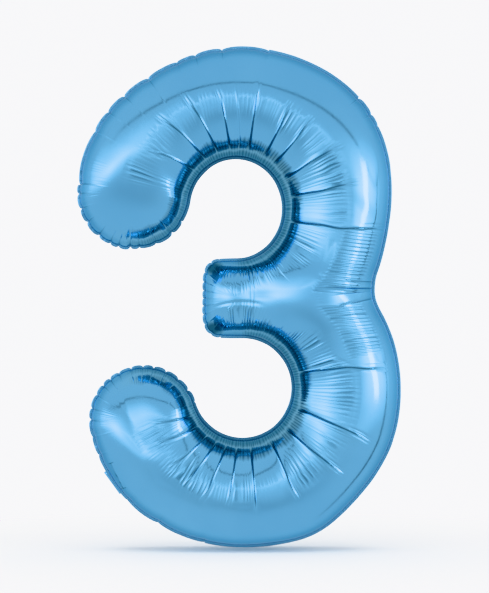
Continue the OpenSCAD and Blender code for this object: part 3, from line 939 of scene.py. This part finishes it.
def foil_material(name, look, dull=0.0, crimp=False):
    """Metallised film; crimp makes the duller, finely pressed finish of the welded edge."""
    n = Nodes(name)
    place = n.add("ShaderNodeTexCoord", out="Object")
    cloud = n.noise(place, 7.0, 3.0)
    fine = n.noise(place, 160.0, 3.0, 0.6)
    grain = n.noise(place, 900.0, 2.0)
    stretched = n.add("ShaderNodeMapping", {"Vector": place, "Scale": (1.0, 1.0, 0.25)})
    haze = n.noise(stretched, 46.0, 4.0, 0.6, 0.4)
    tone = CRIMP_TONE if crimp else 1.0
    colour = n.mix_colour(n.remap(cloud, 0.35, 0.65), toned(look.foil, tone),
                          toned(look.foil_shade, tone))
    # painted reflection on the walls, where the foil sees itself
    colour = n.mix_colour(0.9 * n.attribute("wall_painted_light"), colour, toned(PAINTED_WALL_REFLECTION, tone))
    # painted shade, darkest at the bottoms of creases and folds
    colour = n.mix_colour(n.remap(n.attribute("painted_shade"), 0.25, 0.95, 0.0, 0.88), colour, PAINTED_SHADE_COLOUR)
    rough = look.roughness + dull + 0.07 * n.remap(haze, 0.35, 0.7) + 0.03 * fine
    height = 0.55 * fine + 0.25 * grain + 0.9 * haze
    if crimp:
        height = height + 0.8 * n.noise(place, 420.0, 1.0)
    shader = n.add("ShaderNodeBsdfPrincipled", {
        "Base Color": colour, "Metallic": 0.45 if crimp else 1.0, "Roughness": rough,
        "Normal": n.bump(height, 0.05, 0.0010), "Coat Weight": 0.08, "Coat Roughness": 0.04,
        "Specular Tint": (0.45, 0.70, 0.90, 1)})
    return n.finish(shader)


def film_material(name, look):
    """Clear valve film with a slight haze."""
    n = Nodes(name)
    place = n.add("ShaderNodeTexCoord", out="Object")
    haze = n.noise(place, 90.0, 4.0, 0.6)
    shader = n.add("ShaderNodeBsdfPrincipled", {
        "Base Color": n.mix_colour(n.remap(haze, 0.3, 0.7), look.film, toned(look.film, 0.9)),
        "Roughness": n.remap(haze, 0.3, 0.7, 0.12, 0.25), "Normal": n.bump(haze, 0.15, 0.0008),
        "Alpha": n.remap(haze, 0.2, 0.8, 0.55, 0.72)})
    return n.finish(shader)


def print_material(name, look):
    """Matt heat-resistant print."""
    n = Nodes(name)
    place = n.add("ShaderNodeTexCoord", out="Object")
    speck = n.noise(place, 1400.0, 2.0)
    patch = n.noise(place, 120.0, 3.0)
    shader = n.add("ShaderNodeBsdfPrincipled", {
        "Base Color": n.mix_colour(n.remap(patch, 0.3, 0.7), look.release_print,
                                   toned(look.release_print, 0.92)),
        "Roughness": n.remap(speck, 0.3, 0.7, 0.6, 0.8), "Normal": n.bump(speck, 0.2, 0.0003)})
    return n.finish(shader)


def paper_material(name):
    """Pale paper that fades out towards the rim of the floor."""
    n = Nodes(name)
    place = n.add("ShaderNodeTexCoord", out="Object")
    reach = n.add("ShaderNodeVectorMath", {0: place}, out=1, operation="LENGTH")
    mottle = n.noise(place, 3.0, 2.0)
    shader = n.add("ShaderNodeBsdfPrincipled", {
        "Base Color": n.mix_colour(mottle, (0.86, 0.86, 0.87), (0.88, 0.88, 0.89)),
        "Roughness": 0.9, "Specular IOR Level": 0.1,
        "Alpha": n.add("ShaderNodeMapRange", {
            "Value": reach, "From Min": 0.30, "From Max": 1.15, "To Min": 1.0, "To Max": 0.0},
            interpolation_type="SMOOTHERSTEP")})
    return n.finish(shader)


def dress(piece, material):
    """Gives a piece one material."""
    piece.data.materials.clear()
    piece.data.materials.append(material)


FINISHES = {}


def shared(name, maker, *args, **settings):
    """A material that is made once and used by several pieces."""
    if name not in FINISHES:
        FINISHES[name] = maker(name, *args, **settings)
    return FINISHES[name]


# ---------------------------------------------------------------- operators

class MakeFoils(bpy.types.Operator):
    """Builds the front foil and the back foil, blown up and wrinkled"""
    bl_idname = "balloon.make_foils"
    bl_label = "Foils"

    def execute(self, context):
        scene = context.scene
        envelope = Envelope(scene.balloon_shape)
        for name, facing, seed, turn, node in (
                ("front_foil", -1, 0, 0.0, "front_panel"),
                ("back_foil", 1, 100, BACK_TURN, "back_panel")):
            piece = envelope.foil(name, facing, seed, turn)
            dress(piece, shared("blue_foil", foil_material, scene.balloon_look))
            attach(piece, "envelope")
            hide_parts(node)
        return {"FINISHED"}


class MakeSeal(bpy.types.Operator):
    """Builds the welded edge that runs round the two foils"""
    bl_idname = "balloon.make_seal"
    bl_label = "Sealed edge"

    def execute(self, context):
        scene = context.scene
        edge = Envelope(scene.balloon_shape).seal("edge_seal")
        dress(edge, shared("sealed_foil", foil_material, scene.balloon_look, dull=0.10, crimp=True))
        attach(edge, "envelope")
        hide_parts("heat_seal")
        return {"FINISHED"}


class MakeTail(bpy.types.Operator):
    """Builds the crumpled layers of the tail, and the crease that joins it to the sealed edge"""
    bl_idname = "balloon.make_tail"
    bl_label = "Tail"

    # The crease runs from inside the edge to inside the tail, and bulges out at the bend;
    # millimetres
    CREASE_FROM, CREASE_TO, CREASE_BULGE = 3.0, 3.4, 0.54
    CREASE_WIDTH, CREASE_HALF = 44.5, 0.55
    CREASE_STEPS, CREASE_COLUMNS = 14, 9
    # Crumples of the tail, as (share of the way along, share across, seed, period, height)
    CRUMPLES = ((0.9, 0.55, 61, 15.0, 1.1), (-0.35, 1, 62, 10.0, 0.8), (1, -0.8, 63, 6.0, 0.45))
    CRUMPLE_EDGE = 2.4  # longest edge of the crumpled mesh

    def execute(self, context):
        look = context.scene.balloon_look
        self.pivot = Vector(FOLD_JOINT["pos_m"])
        self.axis = Vector(FOLD_JOINT["axis"]).normalized()
        self.back = Vector((0, 1, 0))
        self.out = self.axis.cross(self.back)
        turn = math.radians(TAIL_FOLD)
        self.away = math.cos(turn) * self.out + math.sin(turn) * self.back
        foil = shared("blue_foil", foil_material, look)
        film = shared("clear_film", film_material, look)
        self.make_crease(foil)
        for node, slot, material in (
                ("tail_front_foil", "foil", foil), ("tail_back_foil", "foil", foil),
                ("tail_seal", "seal", foil), ("tail_valve_front_film", "valve_film", film),
                ("tail_valve_back_film", "valve_film", film)):
            piece = self.crumpled(node)
            dress(piece, material)
            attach(piece, "tail")
            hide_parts(node)
        return {"FINISHED"}

    def make_crease(self, foil):
        """A thick curved strip round the line where the tail bends, from the sealed edge to the
        tail.
        """
        start, end = -self.CREASE_FROM * MM * self.out, self.CREASE_TO * MM * self.away
        bend = self.CREASE_BULGE * MM * (self.out + self.back)
        points = []
        for i in range(self.CREASE_STEPS + 1):
            t = i / self.CREASE_STEPS
            middle = start * (1 - t) ** 2 + 2 * bend * t * (1 - t) + end * t ** 2
            along = (2 * (1 - t) * (bend - start) + 2 * t * (end - bend)).normalized()
            face = along.cross(self.axis)
            for side in (-1, 1):
                for j in range(self.CREASE_COLUMNS + 1):
                    s = (j / self.CREASE_COLUMNS - 0.5) * side
                    swell = self.CREASE_HALF + 0.12 * math.sin(9 * s + 3 * t + side)
                    points.append(self.pivot + middle + self.axis * (s * self.CREASE_WIDTH * MM)
                                  + face * (side * swell * MM))
        ring = 2 * (self.CREASE_COLUMNS + 1)
        faces = [[i * ring + j, i * ring + (j + 1) % ring,
                  (i + 1) * ring + (j + 1) % ring, (i + 1) * ring + j]
                 for i in range(self.CREASE_STEPS) for j in range(ring)]
        faces += [list(range(ring))[::-1], [self.CREASE_STEPS * ring + j for j in range(ring)]]
        piece = new_mesh("tail_crease", points, faces)
        set_outward(piece)
        dress(piece, foil)
        tuple(self.pivot + start * 0.8)
        tuple(self.pivot + end * 0.8)
        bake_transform(piece)

    def crumpled(self, node):
        """A copy of one flat layer of the tail, with the crumples that all its layers share."""
        mesh = bmesh.new()
        mesh.from_mesh(bpy.data.objects[node].data)
        bmesh.ops.remove_doubles(mesh, verts=mesh.verts, dist=1e-6)
        for _ in range(8):
            bmesh.ops.triangulate(mesh, faces=mesh.faces)
            long = [e for e in mesh.edges if e.calc_length() > self.CRUMPLE_EDGE * MM]
            if not long:
                break
            bmesh.ops.subdivide_edges(mesh, edges=long, cuts=1)
        bmesh.ops.triangulate(mesh, faces=mesh.faces)
        name = node.replace("tail_", "tail_sheet_")
        data = bpy.data.meshes.new(name)
        mesh.to_mesh(data)
        mesh.free()
        piece = bpy.data.objects.new(name, data)
        bpy.context.scene.collection.objects.link(piece)
        place = np.array([v.co for v in data.vertices]) - np.array(self.pivot)
        u, w = place @ np.array(self.away) / MM, place @ np.array(self.axis) / MM
        bump = sum(height * wave_noise(along * u + across * w, seed, period)
                   for along, across, seed, period, height in self.CRUMPLES)
        bump = bump * ramp(u, 3, 18)
        place += np.outer(bump * MM, np.array(self.axis.cross(self.away))) + np.array(self.pivot)
        data.vertices.foreach_set("co", place.ravel())
        data.polygons.foreach_set("use_smooth", [True] * len(data.polygons))
        data.update()
        select_only(piece)
        bpy.ops.object.shade_smooth_by_angle(angle=math.radians(40))
        return piece


class FinishValve(bpy.types.Operator):
    """Gives the valve films and the release patch their finish"""
    bl_idname = "balloon.finish_valve"
    bl_label = "Valve"

    def execute(self, context):
        look = context.scene.balloon_look
        film = shared("clear_film", film_material, look)
        for node in ("valve_front_film", "valve_back_film"):
            dress(bpy.data.objects[node], film)
        dress(bpy.data.objects["valve_release_patch"],
              shared("release_print", print_material, look))
        return {"FINISHED"}


class MakeStudio(bpy.types.Operator):
    """Sets up the pale floor, the soft room light and the camera"""
    bl_idname = "balloon.make_studio"
    bl_label = "Studio"

    MIDDLE = (0, 0, 0.43)  # the balloon's middle, which the lamps face
    LAMPS = (  # name, place, size in metres, power in watts, whether the foil reflects it
        ("left_softbox", (-2.4, -1.45, 0.95), (1.6, 1.6), 12, False),
        ("right_softbox", (2.4, -1.20, 0.70), (0.5, 1.2), 16, True),
        ("ceiling", (0, -0.4, 3.2), (2.4, 2.4), 85, False))
    FLOOR_RADIUS, FLOOR_DROP = 1.2, 0.004
    VIEW_WIDTH = 1.018  # metres across the picture at the balloon
    VIEW_AT = (0.0086, 0.431)
    SENSOR = 36  # millimetres

    def execute(self, context):
        scene = context.scene
        scene.view_settings.view_transform = "Khronos PBR Neutral"
        self.make_floor()
        scene.world = self.make_room(scene.balloon_studio)
        self.make_lamps(scene)
        self.make_camera(scene, scene.balloon_studio)
        return {"FINISHED"}

    def make_floor(self):
        bpy.ops.object.select_all(action="DESELECT")
        bpy.ops.mesh.primitive_circle_add(vertices=96, radius=self.FLOOR_RADIUS, fill_type="NGON",
                                          location=(0, 0, -self.FLOOR_DROP))
        floor = bpy.context.object
        floor.name = "floor"
        bpy.ops.object.transform_apply(location=True)
        dress(floor, paper_material("pale_floor"))
        floor.visible_glossy = False

    def make_lamps(self, scene):
        for name, place, size, power, shines in self.LAMPS:
            light = bpy.data.lights.new(name, "AREA")
            light.shape = "RECTANGLE"
            light.size, light.size_y = size
            light.energy = power
            lamp = bpy.data.objects.new(name, light)
            scene.collection.objects.link(lamp)
            lamp.location = place
            lamp.rotation_mode = "QUATERNION"
            lamp.rotation_quaternion = (Vector(place) - Vector(self.MIDDLE)).to_track_quat("Z", "Y")
            lamp.visible_glossy = shines

    def make_room(self, studio):
        """A pale room: what the foil reflects from each direction, and a plain backdrop."""
        n = Nodes("studio_room", "worlds")
        way = n.add("ShaderNodeTexCoord", out="Generated")
        x, y, z = (n.add("ShaderNodeSeparateXYZ", {0: way}, out=i) for i in range(3))
        front = n.remap(y, 0.25, -0.15)
        # panels of light to the left and right, a band at eye height and a bright line over it
        left = 4.2 * n.bell(x, -0.72, 0.36) * n.bell(z, 0.14, 0.18) * front
        right = 4.4 * n.bell(x, 0.84, 0.20) * n.bell(z, 0.08, 0.17) * front
        band = 0.14 * n.bell(z, 0.05, 0.22)
        line = 1.5 * n.bell(z, 0.17, 0.022) * n.bell(x, -0.10, 0.42) * front
        # a darker floor in front, and a darker back of the room
        below = 0.16 * n.bell(x, 0.0, 0.5) * n.bell(z, -0.42, 0.22) * front
        behind = 0.20 * n.remap(y, 0.35, 0.8)
        light = studio.room + left + right + band + line - below - behind
        # narrow dark gaps: an arch overhead, and an upright on the right
        arch = 0.62 * n.bell(z + 0.10 * x + 0.45 * x * x * x * x, 0.64, 0.022)
        arch = arch * n.remap(y, 0.3, 0.1) * n.remap(x, -0.86, -0.6)
        upright = 0.85 * n.bell(y, 0.10, 0.035) * n.remap(x, 0.5, 0.8) * n.remap(z, 0.22, 0.08)
        light = light * (1 - arch) * (1 - upright)
        room = n.add("ShaderNodeBackground", {"Color": (1, 1, 1, 1), "Strength": light})
        seen = n.add("ShaderNodeBackground", {"Color": (*studio.backdrop, 1), "Strength": 1.0})
        camera = n.add("ShaderNodeLightPath", out="Is Camera Ray")
        return n.finish(n.add("ShaderNodeMixShader", {0: camera, 1: room, 2: seen}))

    def make_camera(self, scene, studio):
        camera = bpy.data.cameras.new("camera")
        camera.lens = studio.lens * 1000
        camera.sensor_width = self.SENSOR
        view = bpy.data.objects.new("camera", camera)
        scene.collection.objects.link(view)
        x, z = self.VIEW_AT
        view.location = (x, -self.VIEW_WIDTH * camera.lens / self.SENSOR, z)
        view.rotation_euler = (math.radians(90), 0, 0)
        camera.clip_start, camera.clip_end = 0.1, 60
        scene.camera = view


STEPS = ("make_foils", "make_seal", "make_tail", "finish_valve", "make_studio")


class BalloonPanel(bpy.types.Panel):
    """Lists the steps in the 3D view's sidebar"""
    bl_idname = "VIEW3D_PT_balloon"
    bl_label = "Foil Number Balloon"
    bl_space_type = "VIEW_3D"
    bl_region_type = "UI"
    bl_category = "Balloon"

    def draw(self, context):
        for name in STEPS:
            self.layout.operator(f"balloon.{name}")


CLASSES = (BalloonShape, BalloonLook, StudioLook, MakeFoils, MakeSeal, MakeTail, FinishValve,
           MakeStudio, BalloonPanel)


def register():
    for cls in CLASSES:
        bpy.utils.register_class(cls)
    bpy.types.Scene.balloon_shape = bpy.props.PointerProperty(type=BalloonShape)
    bpy.types.Scene.balloon_look = bpy.props.PointerProperty(type=BalloonLook)
    bpy.types.Scene.balloon_studio = bpy.props.PointerProperty(type=StudioLook)


def unregister():
    del bpy.types.Scene.balloon_shape, bpy.types.Scene.balloon_look, bpy.types.Scene.balloon_studio
    for cls in reversed(CLASSES):
        bpy.utils.unregister_class(cls)


def main():
    register()
    for name in STEPS:
        getattr(bpy.ops.balloon, name)()


if __name__ == "__main__":
    main()
